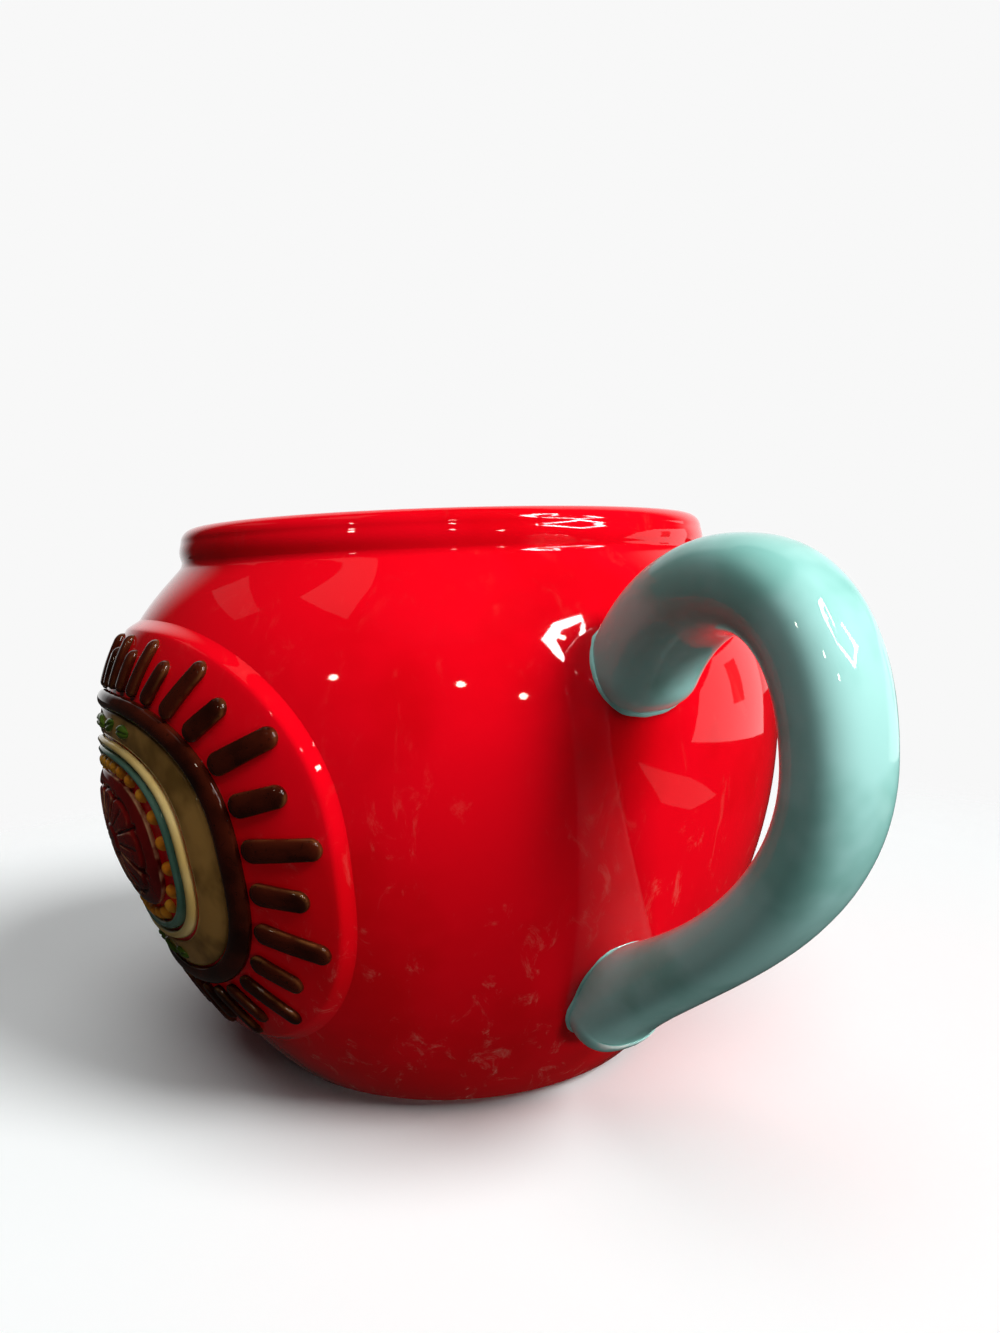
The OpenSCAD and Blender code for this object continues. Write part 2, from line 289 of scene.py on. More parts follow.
# %% Pale patches: the side window, its dark blind, the sunlit table, the ceiling and the wall
pane_light = glowing("pane_light", WHITE, 1.2)
patch_light = glowing("patch_light", WARM, 0.45)
wall_light = glowing("wall_light", WARM, 0.2)
blind_cloth = glowing("blind_cloth", (0.2, 0.18, 0.18, 1), 1)
SIDE_PANE = [(92, -11), (92, 13), (65, 13), (53, 4), (48, -10)]
SIDE_BLIND = [(75, -3), (75, 9), (68, 9), (68, -3)]
CEILING = [(-115, 56), (-119, 65), (-115, 76), (-93, 71), (-78, 56), (-98, 57)]
WALL = [(-151, 34), (-145, 44), (-120, 46), (-124, 39)]
SUNLIT = [(265, 135), (155, 155), (100, 145), (115, 105), (145, 90)]
PANE_FAR, BLIND_FAR, TABLE_RISE = 340, 290, 2

mirrored_panel("side_pane", spots(SIDE_PANE, PANE_FAR), pane_light)
mirrored_panel("side_blind", spots(SIDE_BLIND, BLIND_FAR), blind_cloth)
mirrored_panel("table_patch", [Vector((x, y, TABLE_RISE)) * MM for x, y in SUNLIT], patch_light)
mirrored_panel("ceiling_patch", spots(CEILING), patch_light)
mirrored_panel("wall_patch", spots(WALL), wall_light)
print("pale patches:", 4)

# %% Small lamps of the room
BULBS = [(-66, 27), (-24, 24), (-5, 16), (17.7, 42.2)]
BULB_WIDE, BULB_SIDES = 1.6, 8
bulb_light = glowing("bulb_light", AMBER, 45)

for k, (azimuth, elevation) in enumerate(BULBS):
    turns = np.linspace(0, math.tau, BULB_SIDES, endpoint=False)
    corners = [(azimuth + BULB_WIDE * math.cos(a), elevation + BULB_WIDE * math.sin(a)) for a in turns]
    mirrored_panel(f"bulb_{k}", spots(corners), bulb_light)
print("bulbs:", len(BULBS))

# %% Dark flags round the camera's side
FLAG_FAR, FLAG_TOP = 1100, 2390
FLAG_EDGE_START, FLAG_EDGE_END = 20, 300
OPEN_TOWARD, OPEN_WIDE, OPEN_EDGE = 146, 92, 24
DARK_CLOTH = (0.02, 0.018, 0.016, 1)


def stand_dark(piece, name, clear):
    """Makes a piece that only shiny surfaces see, dark, and clear where a number nears 1."""
    cloth = glowing(name, DARK_CLOTH, 1)
    tree = cloth.node_tree
    joined = node(tree, "MixShader")
    tree.links.new(clear(tree, node(tree, "TexCoord").outputs["Object"]), joined.inputs[0])
    tree.links.new(tree.nodes["Emission"].outputs[0], joined.inputs[1])
    tree.links.new(node(tree, "BsdfTransparent").outputs[0], joined.inputs[2])
    tree.links.new(joined.outputs[0], tree.nodes["Material Output"].inputs["Surface"])
    piece.data.materials.append(cloth)
    mirror_only(piece)


def flag_opening(tree, place):
    """The flags stand open towards the pale backdrop, with soft edges at the sides and on top."""
    way = toward(OPEN_TOWARD, 0) / (FLAG_FAR * MM)
    facing = node(tree, "VectorMath", {1: way}, operation="DOT_PRODUCT")
    tree.links.new(place, facing.inputs[0])
    parts = node(tree, "SeparateXYZ")
    tree.links.new(place, parts.inputs[0])
    shut, opened = [math.cos(math.radians((OPEN_WIDE + side * OPEN_EDGE) / 2)) for side in (1, -1)]
    edge, inside = [(FLAG_TOP / 2 - drop) * MM for drop in (FLAG_EDGE_START, FLAG_EDGE_END)]
    low_enough = ramp(tree, edge, inside, parts.outputs[2])
    return combine(tree, ramp(tree, shut, opened, facing.outputs["Value"]), low_enough)


bpy.ops.mesh.primitive_cylinder_add(
    vertices=96, radius=FLAG_FAR * MM, depth=FLAG_TOP * MM, end_fill_type="NGON",
    location=(0, 0, FLAG_TOP / 2 * MM))
flag = bpy.context.object
flag.name = "dark_flag"
stand_dark(flag, "flag_cloth", flag_opening)
print("flags open towards", OPEN_TOWARD, "degrees")

# %% Dark card on the table, just outside the photograph
CARD_START, CARD_END, CARD_R, CARD_RISE = 31, 36, 1050, 0.5


def card_hole(tree, place):
    """The card is clear round the mug's foot, so the foot still mirrors the floor."""
    away = node(tree, "VectorMath", operation="LENGTH")
    tree.links.new(place, away.inputs[0])
    return ramp(tree, CARD_END * MM, CARD_START * MM, away.outputs["Value"])


bpy.ops.mesh.primitive_circle_add(
    vertices=96, radius=CARD_R * MM, fill_type="TRIFAN", location=(0, 0, CARD_RISE * MM))
card = bpy.context.object
card.name = "dark_card"
stand_dark(card, "card_cloth", card_hole)
print("card from", CARD_START, "mm on")

# %% [markdown]
# ## The glaze
# Glaze is coloured glass. It is smooth and mirror-like, lies a little uneven, runs off sharp
# edges so that they look paler, and gathers in hollows where it looks darker. A painted image
# could show that, but it would be tied to one mesh. Here each mesh carries two numbers at its
# points, how sharp an edge and how deep a hollow is there, and the glaze's nodes read them.

# %% Mark edges and hollows on a mesh


def mark_relief(piece, reach):
    """Stores how convex (edge) and how concave (hollow) the surface is at each point."""
    mesh = piece.data
    count = len(mesh.vertices)
    co = np.empty(count * 3)
    normal = np.empty(count * 3)
    ends = np.empty(len(mesh.edges) * 2, int)
    mesh.vertices.foreach_get("co", co)
    mesh.vertices.foreach_get("normal", normal)
    mesh.edges.foreach_get("vertices", ends)
    co, normal, ends = co.reshape(-1, 3), normal.reshape(-1, 3), ends.reshape(-1, 2)
    a, b = np.r_[ends[:, 0], ends[:, 1]], np.r_[ends[:, 1], ends[:, 0]]
    step = co[a] - co[b]
    size = np.maximum(np.linalg.norm(step, axis=1), 1e-7)
    bend = (normal[a] * step).sum(1) / size ** 2
    near = np.maximum(np.bincount(a, minlength=count), 1)
    curve = np.bincount(a, bend, count) / near
    for _ in range(2):
        curve = (curve + np.bincount(a, curve[b], count) / near) / 2
    for name, value in (("edge", curve), ("hollow", -curve)):
        stored = mesh.attributes.new(name, "FLOAT", "POINT")
        stored.data.foreach_set("value", np.clip(value * reach * MM, 0, 1).astype(np.float32))


print("edge and hollow marks ready")

# %% Dust on the lower body
DUST_TOP, DUST_LOW = 60, 10


def smears(tree, place):
    """Faint dust and wiping marks, more of them low on the body, as a number."""
    slant = node(tree, "Mapping", {"Scale": (1.9, 1.9, 0.9), "Rotation": (0.5, -0.45, 0)})
    tree.links.new(place, slant.inputs["Vector"])
    wisps = node(tree, "TexNoise",
                 {"Scale": 110, "Detail": 8, "Roughness": 0.76, "Distortion": 0.8})
    tree.links.new(slant.outputs[0], wisps.inputs["Vector"])
    parts = node(tree, "SeparateXYZ")
    tree.links.new(place, parts.inputs[0])
    low = node(tree, "MapRange", {1: DUST_TOP * MM, 2: DUST_LOW * MM, 3: 0.1, 4: 1.15})
    tree.links.new(parts.outputs[2], low.inputs[0])
    return combine(tree, ramp(tree, 0.55, 0.70, wisps.outputs["Fac"]), low.outputs[0])


print("dust from", DUST_TOP, "mm down")

# %% Glaze recipe
GLAZE_IOR = 1.42
PEEL_SCALE, SPECK_SCALE = 420, 1500
WAVE_DEEP, PEEL_DEEP = 0.6, 0.05
WAVE_STRENGTH, PEEL_STRENGTH = 0.12, 0.05
SHINE_SPREAD, DUST_ROUGH = 0.4, 0.25


def glaze_clouds(tree, place, patch):
    """Three sizes of unevenness: clouds in the colour, a fine orange peel and small specks."""
    cloud = node(tree, "TexNoise", {"Scale": 1 / (patch * MM), "Detail": 3, "Roughness": 0.55})
    fine = node(tree, "TexNoise", {"Scale": PEEL_SCALE, "Detail": 2, "Roughness": 0.5})
    dots = node(tree, "TexNoise", {"Scale": SPECK_SCALE, "Detail": 1, "Roughness": 0.4})
    for texture in (cloud, fine, dots):
        tree.links.new(place, texture.inputs["Vector"])
    return [texture.outputs["Fac"] for texture in (cloud, fine, dots)]


def glaze_tone(tree, cloud, fine, colour, deep, thin):
    """The glaze's colour: cloudy, deep where it gathers and thin where it runs off an edge."""
    edge = node(tree, "Attribute", attribute_name="edge").outputs["Fac"]
    hollow = node(tree, "Attribute", attribute_name="hollow").outputs["Fac"]
    cloudy = mix(tree, ramp(tree, 0.42, 0.68, cloud), colour, deep)
    pooled = mix(tree, ramp(tree, 0.05, 0.6, hollow), cloudy, deep)
    worn = combine(tree, ramp(tree, 0.18, 0.75, edge), ramp(tree, 0.3, 0.62, fine))
    return mix(tree, worn, pooled, thin)


def glaze(name, colour, deep, thin, shine=0.035, patch=22, streak=0.0, speck=0.0):
    """A glossy glaze of three tones, with clouds of patch millimetres.

    Shine is its roughness, streak the share of dust on it and speck the share of dark specks.
    """
    made = bpy.data.materials.new(name)
    made.use_nodes = True
    tree = made.node_tree
    glass = tree.nodes["Principled BSDF"]
    place = node(tree, "TexCoord").outputs["Object"]
    cloud, fine, dots = glaze_clouds(tree, place, patch)
    tone = glaze_tone(tree, cloud, fine, colour, deep, thin)
    if speck:
        tone = mix(tree, combine(tree, ramp(tree, 0.66, 0.72, dots), speck), tone, deep)
    smoothest, roughest = shine * (1 - SHINE_SPREAD), shine * (1 + SHINE_SPREAD)
    uneven = node(tree, "MapRange", {1: 0.3, 2: 0.7, 3: smoothest, 4: roughest})
    tree.links.new(cloud, uneven.inputs[0])
    rough = uneven.outputs[0]
    if streak:
        dust = smears(tree, place)
        tone = mix(tree, combine(tree, dust, streak), tone, thin)
        rough = combine(tree, rough, combine(tree, dust, DUST_ROUGH), "ADD")
    tree.links.new(tone, glass.inputs["Base Color"])
    tree.links.new(rough, glass.inputs["Roughness"])
    glass.inputs["IOR"].default_value = GLAZE_IOR
    wave = node(tree, "Bump", {"Strength": WAVE_STRENGTH, "Distance": WAVE_DEEP * MM})
    peel = node(tree, "Bump", {"Strength": PEEL_STRENGTH, "Distance": PEEL_DEEP * MM})
    tree.links.new(cloud, wave.inputs["Height"])
    tree.links.new(fine, peel.inputs["Height"])
    tree.links.new(wave.outputs[0], peel.inputs["Normal"])
    tree.links.new(peel.outputs[0], glass.inputs["Normal"])
    return made


print("glaze bends light by", GLAZE_IOR)

# %% Mix the glazes
red_glaze = glaze("red_glaze", rgb(240, 3, 24), rgb(224, 2, 17), rgb(232, 150, 132), streak=0.34)
lining_glaze = glaze("lining_glaze", rgb(240, 3, 24), rgb(224, 2, 17), rgb(232, 150, 132))
aqua_glaze = glaze("aqua_glaze", rgb(177, 234, 227), rgb(146, 210, 200), rgb(228, 243, 236),
                   patch=15, streak=0.15)
brown_glaze = glaze("brown_glaze", rgb(66, 20, 8), rgb(34, 8, 3), rgb(150, 96, 50), patch=9, speck=0.5)
tan_glaze = glaze("tan_glaze", rgb(186, 138, 72), rgb(130, 94, 42), rgb(224, 200, 148), patch=9)
cream_glaze = glaze("cream_glaze", rgb(240, 214, 146), rgb(222, 186, 108), rgb(250, 238, 205))
teal_glaze = glaze("teal_glaze", rgb(120, 158, 138), rgb(82, 122, 104), rgb(200, 214, 190))
deep_red_glaze = glaze("deep_red_glaze", rgb(134, 18, 16), rgb(72, 8, 6), rgb(204, 150, 110))
orange_glaze = glaze("orange_glaze", rgb(235, 168, 52), rgb(214, 120, 24), rgb(250, 224, 150))
green_glaze = glaze("green_glaze", rgb(92, 122, 34), rgb(58, 86, 20), rgb(170, 178, 96))
bare_clay = glaze("bare_clay", rgb(222, 206, 184), rgb(204, 186, 160), rgb(234, 222, 204), shine=0.75)
print("glazes:", len([m for m in bpy.data.materials if m.name.endswith("_glaze")]))

# %% [markdown]
# ## The body
# The real body is a shell of even thickness, poured in a mould. Its shape is round, so one
# outline is enough: a point is extruded along the wall's section and spun about the axis. The
# outline is the CAD's own: a rounded edge at the base, one curve up to the belly, one over the
# shoulder, a small hollow under the collar, and a lip that ends in a half round.

# %% Outline of the wall
BODY_H, BELLY_R, BELLY_Z, BASE_R, WALL_T, FLOOR_T = 93.5, 59.0, 59.5, 35.2, 4.5, 5.0
COLLAR_R, COLLAR_H, LIP_T, COLLAR_BULGE, NECK_FILLET = 46.4, 5.6, 4.8, 0.3, 1.8
FOOT_R, FOOT_W, FOOT_H, BASE_ROUND, FOOT_ROUND = 31.0, 4.0, 1.5, 1.5, 0.6
BASE_LEAN, SHOULDER_LEAN, SHOULDER_PULL = 44, 48, 6.6
BASE_PULL, BELLY_PULL_DOWN, BELLY_PULL_UP = 3, 33.3, 15.5
LOW_STEPS, HIGH_STEPS, SIDE_STEPS = 60, 40, 8


def polar(radius, degrees):
    """Step of a length in a direction, as radius and height."""
    return radius * np.array([math.cos(math.radians(degrees)), math.sin(math.radians(degrees))])


def curve(points, t):
    """Point of a cubic curve with four control points."""
    a, b, c, d = (np.array(p, float) for p in points)
    return (1 - t) ** 3 * a + 3 * (1 - t) ** 2 * t * b + 3 * (1 - t) * t * t * c + t ** 3 * d


def along(points, steps, first=0):
    """Points along a cubic curve."""
    return [curve(points, i / steps) for i in range(first, steps + 1)]


def arc(centre, radius, start, end, steps=10, first=0):
    """Points along an arc, from one angle in degrees to another."""
    return [np.array(centre) + polar(radius, start + (end - start) * i / steps)
            for i in range(first, steps + 1)]


neck_z = BODY_H - COLLAR_H
base_c = (BASE_R - BASE_ROUND, FOOT_H + BASE_ROUND)
wall_start = np.array(base_c) + polar(BASE_ROUND, BASE_LEAN - 90)
neck_c = (COLLAR_R + NECK_FILLET, neck_z)
shoulder_end = np.array(neck_c) - polar(NECK_FILLET, 90 - SHOULDER_LEAN)
shoulder_way = polar(SHOULDER_PULL, -SHOULDER_LEAN)
lip_r = LIP_T / 2
lip_z = BODY_H - lip_r
belly = np.array([BELLY_R, BELLY_Z])
low_wall = [wall_start, wall_start + polar(BASE_PULL, BASE_LEAN), belly - (0, BELLY_PULL_DOWN), belly]
high_wall = [belly, belly + (0, BELLY_PULL_UP), shoulder_end + shoulder_way, shoulder_end]
collar_side = [np.array([COLLAR_R + COLLAR_BULGE * math.sin(math.pi * t), neck_z + (lip_z - neck_z) * t])
               for t in np.arange(1, SIDE_STEPS) / SIDE_STEPS]
outer = (
    along(low_wall, LOW_STEPS) + along(high_wall, HIGH_STEPS, 1)
    + arc(neck_c, NECK_FILLET, 270 - SHOULDER_LEAN, 180, first=1) + collar_side)
wall_heights = np.array([p[1] for p in outer])
wall_radii = np.array([p[0] for p in outer])


def wall_r(z):
    """Radius of the wall's outer face at a height."""
    return float(np.interp(z, wall_heights, wall_radii))


print("wall points:", len(outer), "belly radius:", round(wall_r(BELLY_Z), 2))

# %% Inside of the wall, floor and foot ring
FLAT_R, FLAT_PULL = 16, 24

floor_z = FOOT_H + FLOOR_T
inner_top = np.array([COLLAR_R - LIP_T, neck_z - NECK_FILLET])
inner_belly = belly - (WALL_T, 0)
inner_high = [inner_top, inner_top + shoulder_way, inner_belly + (0, BELLY_PULL_UP - WALL_T), inner_belly]
inner_low = [inner_belly, inner_belly - (0, BELLY_PULL_DOWN - WALL_T), (FLAT_R + FLAT_PULL, floor_z),
             (FLAT_R, floor_z)]
inner = (
    along(inner_high, HIGH_STEPS) + along(inner_low, LOW_STEPS, 1)
    + [np.array([FLAT_R * t, floor_z]) for t in (0.75, 0.5, 0.25, 0)])
foot_in = FOOT_R - FOOT_W
foot = (
    [np.array([r, FOOT_H]) for r in (0, 7, 14, 21, foot_in)]
    + arc((foot_in + FOOT_ROUND, FOOT_ROUND), FOOT_ROUND, 180, 270)
    + arc((FOOT_R - FOOT_ROUND, FOOT_ROUND), FOOT_ROUND, 270, 360)
    + [np.array([FOOT_R, FOOT_H])]
    + arc(base_c, BASE_ROUND, -90, BASE_LEAN - 90))
lip = arc((COLLAR_R - lip_r, lip_z), lip_r, 0, 180, 24)
section = foot + outer[1:] + lip + inner
print("section points:", len(section))

# %% Spin the section into the body
BODY_STEPS, SHORTEST, DOUBLES = 256, 0.01, 0.002


def start_piece(name, vertices=3, fill="NOTHING"):
    """Adds a circle to shape in edit mode, with all of it selected."""
    bpy.ops.object.select_all(action="DESELECT")
    bpy.ops.mesh.primitive_circle_add(vertices=vertices, radius=1, fill_type=fill)
    made = bpy.context.object
    made.name = name
    bpy.ops.object.mode_set(mode="EDIT")
    return made


def close_and_turn_out():
    """Merges doubles, turns the faces outwards and leaves edit mode."""
    bpy.ops.mesh.select_all(action="SELECT")
    bpy.ops.mesh.remove_doubles(threshold=DOUBLES * MM)
    bpy.ops.mesh.normals_make_consistent(inside=False)
    bpy.ops.object.mode_set(mode="OBJECT")
    bpy.ops.object.shade_smooth()


def report(piece):
    """Prints the piece's faces, its height range and whether its mesh is closed."""
    bpy.context.view_layer.update()
    sides = np.zeros(len(piece.data.edges), int)
    for face in piece.data.polygons:
        for key in face.loop_indices:
            sides[piece.data.loops[key].edge_index] += 1
    zs = [v.co.z / MM for v in piece.data.vertices]
    print(piece.name, "faces:", len(piece.data.polygons), "z:", round(min(zs), 2), round(max(zs), 2),
          "open edges:", int((sides != 2).sum()))


mug = start_piece("mug_body")
bpy.ops.mesh.merge(type="CENTER")
last = Vector((section[0][0], 0, section[0][1])) * MM
bpy.ops.transform.translate(value=last)
for point in section[1:]:
    here = Vector((point[0], 0, point[1])) * MM
    if (here - last).length > SHORTEST * MM:
        bpy.ops.mesh.extrude_vertices_move(TRANSFORM_OT_translate={"value": here - last})
        last = here
bpy.ops.mesh.select_all(action="SELECT")
bpy.ops.mesh.spin(steps=BODY_STEPS, angle=math.tau, center=(0, 0, 0), axis=(0, 0, 1))
close_and_turn_out()
mark_relief(mug, 0.9)
report(mug)

# %% [markdown]
# ## The handle
# The handle is a thick tube of clay, bent into a loop and pressed on at both ends with slip. A
# curve with a round bevel would make a tube quickly, but this one grows thicker at its ends,
# and is wider than it is thick. So a ring is extruded step by step along the loop, and each
# step is turned and sized as the clay is. Where a ring dips into the wall, its points are
# brought out to the wall, as the soft end of the tube spreads on it.

# %% Loop of the handle
REACH, UPPER_DROP, LOWER_Z, UPPER_LEAN, LOWER_LEAN = 31.8, 23.0, 19.8, 58, 52
UPPER_PULL, LOWER_PULL, BOW_UP, BOW_DOWN, TOP_SHARE = 18, 8, 25.5, 22.5, 0.835
THICK, WIDE, TUBE_POWER = 11.0, 13.4, 2.5
THICK_SHARES = [1.14, 1.10, 0.98, 0.86, 1.22]
WIDE_SHARES = [1.18, 1.10, 0.95, 0.97, 1.09]

upper_z = BODY_H - UPPER_DROP
upper_joint = np.array([wall_r(upper_z), upper_z])
lower_joint = np.array([wall_r(LOWER_Z), LOWER_Z])
outermost = np.array([BELLY_R + REACH, LOWER_Z + (upper_z - LOWER_Z) * TOP_SHARE])
over = [upper_joint, upper_joint + polar(UPPER_PULL, UPPER_LEAN), outermost + (0, BOW_UP), outermost]
under = [outermost, outermost - (0, BOW_DOWN), lower_joint + polar(LOWER_PULL, LOWER_LEAN), lower_joint]


def loop_point(s):
    """Point of the loop's middle line at share s of the way along."""
    return curve(over, 2 * s) if s < 0.5 else curve(under, 2 * s - 1)


def loop_way(s):
    """Direction of the loop's middle line at share s."""
    step = loop_point(min(1, s + 0.001)) - loop_point(max(0, s - 0.001))
    return step / np.linalg.norm(step)


def smooth_at(values, s):
    """Smooth value at share s of the way along an evenly spaced list."""
    x = min(max(s, 0), 1) * (len(values) - 1)
    i = min(int(x), len(values) - 2)
    f = x - i
    a, b, c, d = (values[min(max(k, 0), len(values) - 1)] for k in range(i - 1, i + 3))
    return b + f * (c - a + f * (2 * a - 5 * b + 4 * c - d + f * (3 * (b - c) + d - a))) / 2


print("loop's outermost point:", outermost.round(1))

# %% Extrude the tube
TUBE_SIDES, TUBE_STEPS, CAP_STEPS, SINK = 48, 110, 9, 0.35
CAP_TIP_SHARE = 0.02


def station(s, push=0.0, draw=1.0):
    """Centre, turn in degrees, half thickness and half width of the tube's ring at share s.

    The rings of the round caps are pushed on along the loop and drawn in.
    """
    way = loop_way(s)
    a = THICK / 2 * smooth_at(THICK_SHARES, s)
    b = WIDE / 2 * smooth_at(WIDE_SHARES, s)
    centre = loop_point(s) + push * a * way
    return centre, math.degrees(math.atan2(way[1], way[0])), a * draw, b * draw


caps = np.radians([90 - 90 * i / (CAP_STEPS + 1) for i in range(CAP_STEPS + 1)])
stations = [station(0, -math.sin(c), max(CAP_TIP_SHARE, math.cos(c))) for c in caps]
stations += [station(i / TUBE_STEPS) for i in range(TUBE_STEPS + 1)]
stations += [station(1, math.sin(c), max(CAP_TIP_SHARE, math.cos(c))) for c in reversed(caps)]


def read_points(piece):
    """A mesh's points, in millimetres."""
    co = np.empty(len(piece.data.vertices) * 3)
    piece.data.vertices.foreach_get("co", co)
    return co.reshape(-1, 3) / MM


def put_points(piece, points):
    """Moves a mesh's points to the given places, in millimetres."""
    piece.data.vertices.foreach_set("co", (np.asarray(points) * MM).ravel())
    piece.data.update()


def seat(points, above):
    """Brings points that lie inside the wall out to just above or below its face."""
    radius = np.hypot(points[:, 0], points[:, 1])
    wall = np.interp(points[:, 2], wall_heights, wall_radii) + above
    grow = np.where(radius < wall, wall / np.maximum(radius, 1e-6), 1)
    return points * np.stack([grow, grow, np.ones(len(grow))], 1)


handle = start_piece("mug_handle", TUBE_SIDES)
bpy.ops.object.mode_set(mode="OBJECT")
for point in handle.data.vertices:
    point.co = [math.copysign(abs(c) ** (2 / TUBE_POWER), c) for c in point.co]
bpy.ops.object.mode_set(mode="EDIT")
centre, turn, a, b = stations[0]
bpy.ops.transform.resize(value=(a * MM, b * MM, 1), center_override=(0, 0, 0))
bpy.ops.transform.rotate(
    value=math.radians(turn - 90), orient_axis="Y", center_override=(0, 0, 0))
bpy.ops.transform.translate(value=Vector((centre[0], 0, centre[1])) * MM)
for after in stations[1:]:
    move = Vector((after[0][0] - centre[0], 0, after[0][1] - centre[1])) * MM
    bpy.ops.mesh.extrude_region_move(TRANSFORM_OT_translate={"value": move})
    pivot = Vector((after[0][0], 0, after[0][1])) * MM
    bpy.ops.transform.rotate(
        value=math.radians(after[1] - turn), orient_axis="Y", center_override=pivot)
    bpy.ops.transform.resize(value=(after[2] / a, after[3] / b, after[2] / a), center_override=pivot)
    centre, turn, a, b = after
bpy.ops.mesh.select_all(action="DESELECT")
bpy.ops.mesh.select_non_manifold()
bpy.ops.mesh.merge(type="COLLAPSE")
close_and_turn_out()
spread = read_points(handle)
print("tube reaches", spread[:, 0].max().round(1), "and rises to", spread[:, 2].max().round(1))
put_points(handle, seat(spread, -SINK))
mark_relief(handle, 0.9)
report(handle)

# %% [markdown]
# ## Joints of the handle
# Where the soft tube is pressed on, a little slip comes out round it, and the glaze runs off
# that thin bead and leaves it pale. It could be painted on, but a real bead catches the light.
# The line where tube and wall meet is found on the handle's own mesh, and a thin round bead
# is laid along it.

# %% Lay a bead along each joint
SLIP_R, SLIP_STEPS, JOINT_REACH = 0.55, 120, 14
SLIP_LEAST, SLIP_MORE, SLIP_LUMPS = 0.85, 0.45, 0.35


def joint_line(middle):
    """Points where the tube leaves the wall round one joint, in order round it."""
    points = read_points(handle)
    radius = np.hypot(points[:, 0], points[:, 1])
    clear = radius - np.interp(points[:, 2], wall_heights, wall_radii)
    ends = np.array([e.vertices[:] for e in handle.data.edges])
    a, b, depth = clear[ends[:, 0]], clear[ends[:, 1]], -SINK / 2
    cross = (np.minimum(a, b) < depth) & (np.maximum(a, b) > depth)
    share = ((depth - a[cross]) / (b[cross] - a[cross]))[:, None]
    hits = points[ends[cross, 0]] * (1 - share) + points[ends[cross, 1]] * share
    hits = hits[np.abs(hits[:, 2] - middle) < JOINT_REACH]
    around = np.arctan2(hits[:, 2] - middle, hits[:, 1])
    order = np.argsort(around)
    steps = np.linspace(-math.pi, math.pi, SLIP_STEPS, endpoint=False)
    return [np.array([np.interp(s, around[order], hits[order, k], period=math.tau) for k in range(3)])
            for s in steps]


def slip_bead(name, line):
    """A thin closed bead along a line, of slightly uneven thickness."""
    bpy.ops.object.select_all(action="DESELECT")
    bpy.ops.curve.primitive_bezier_circle_add(radius=1)
    bead = bpy.context.object
    bead.name = name
    bead.data.splines.remove(bead.data.splines[0])
    path = bead.data.splines.new("POLY")
    path.points.add(len(line) - 1)
    path.use_cyclic_u = True
    for point, place in zip(path.points, line):
        point.co = (*(place * MM), 1)
        point.radius = SLIP_LEAST + SLIP_MORE * noise.noise(Vector(place) * SLIP_LUMPS)
    bead.data.bevel_depth = SLIP_R * MM
    bead.data.bevel_resolution = 4
    bpy.ops.object.convert(target="MESH")
    bpy.ops.object.mode_set(mode="EDIT")
    close_and_turn_out()
    mark_relief(bead, 0.25)
    report(bead)
    return bead


upper_slip = slip_bead("upper_joint_slip", joint_line(upper_z))
lower_slip = slip_bead("lower_joint_slip", joint_line(LOWER_Z))

# %% [markdown]
# ## The medallion
# The medallion is made of sprigs, small clay ornaments that are pressed flat in a mould and
# then laid on the round wall. It is modelled the same way: each sprig is made flat on a round
# disc, where an angle and a share of the way out are easy to think in, and one function then
# lays it on the wall. The disc becomes a squarish oval there, and height becomes height above
# the wall. The design is a plain sunburst: rays, rings, beads, leaves and a carved rosette.

# %% Lay a flat sprig on the wall
HALF_W, TOP_GAP, LOW_GAP, POWER = 50.0, 8.0, 11.0, 2.6
PLINTH_H, FIELD_T, BOSS_H, BAND_H, RAY_H, RING_H = 1.3, 0.6, 2.2, 1.3, 1.2, 1.1
BOSS, BEADS, TEAL, CREAM = 0.31, 0.35, (0.385, 0.42), (0.43, 0.465)
FIELD, BAND, RAYS, SHORT_RAY = (0.48, 0.595), (0.605, 0.68), (0.695, 0.94), 0.88

med_top = shoulder_end[1] - TOP_GAP
half_h = (med_top - LOW_GAP) / 2
med_z = LOW_GAP + half_h


def on_wall(flat):
    """Points given as x round the belly, y up and h out, in millimetres, on the wall."""
    flat = np.asarray(flat, float).reshape(-1, 3)
    z = med_z + flat[:, 1]
    a = flat[:, 0] / BELLY_R - math.pi / 2
    r = np.interp(z, wall_heights, wall_radii) + flat[:, 2]
    return np.stack([r * np.cos(a), r * np.sin(a), z], 1)


def oval(share, angle):
    """Point of the medallion at a share of the way out, at an angle in radians."""
    c, s = np.cos(angle), np.sin(angle)
    edge = ((np.abs(c) / HALF_W) ** POWER + (np.abs(s) / half_h) ** POWER) ** (-1 / POWER)
    return np.stack([share * edge * c, share * edge * s], -1)


def lay(piece, reach, carve=None):
    """Turns a flat disc of shares and heights into a sprig on the wall, and finishes it."""
    flat = read_points(piece)
    share, angle = np.hypot(flat[:, 0], flat[:, 1]) * MM, np.arctan2(flat[:, 1], flat[:, 0])
    high = flat[:, 2] + (carve(share, angle, flat[:, 2]) if carve else 0)
    put_points(piece, on_wall(np.c_[oval(share, angle), high]))
    mark_relief(piece, reach)
    report(piece)
    return piece


print("medallion's middle and half height:", round(med_z, 2), round(half_h, 2))

# %% Press a round sprig from its section
SIDE_SHARE, FULLNESS = 0.35, 0.12


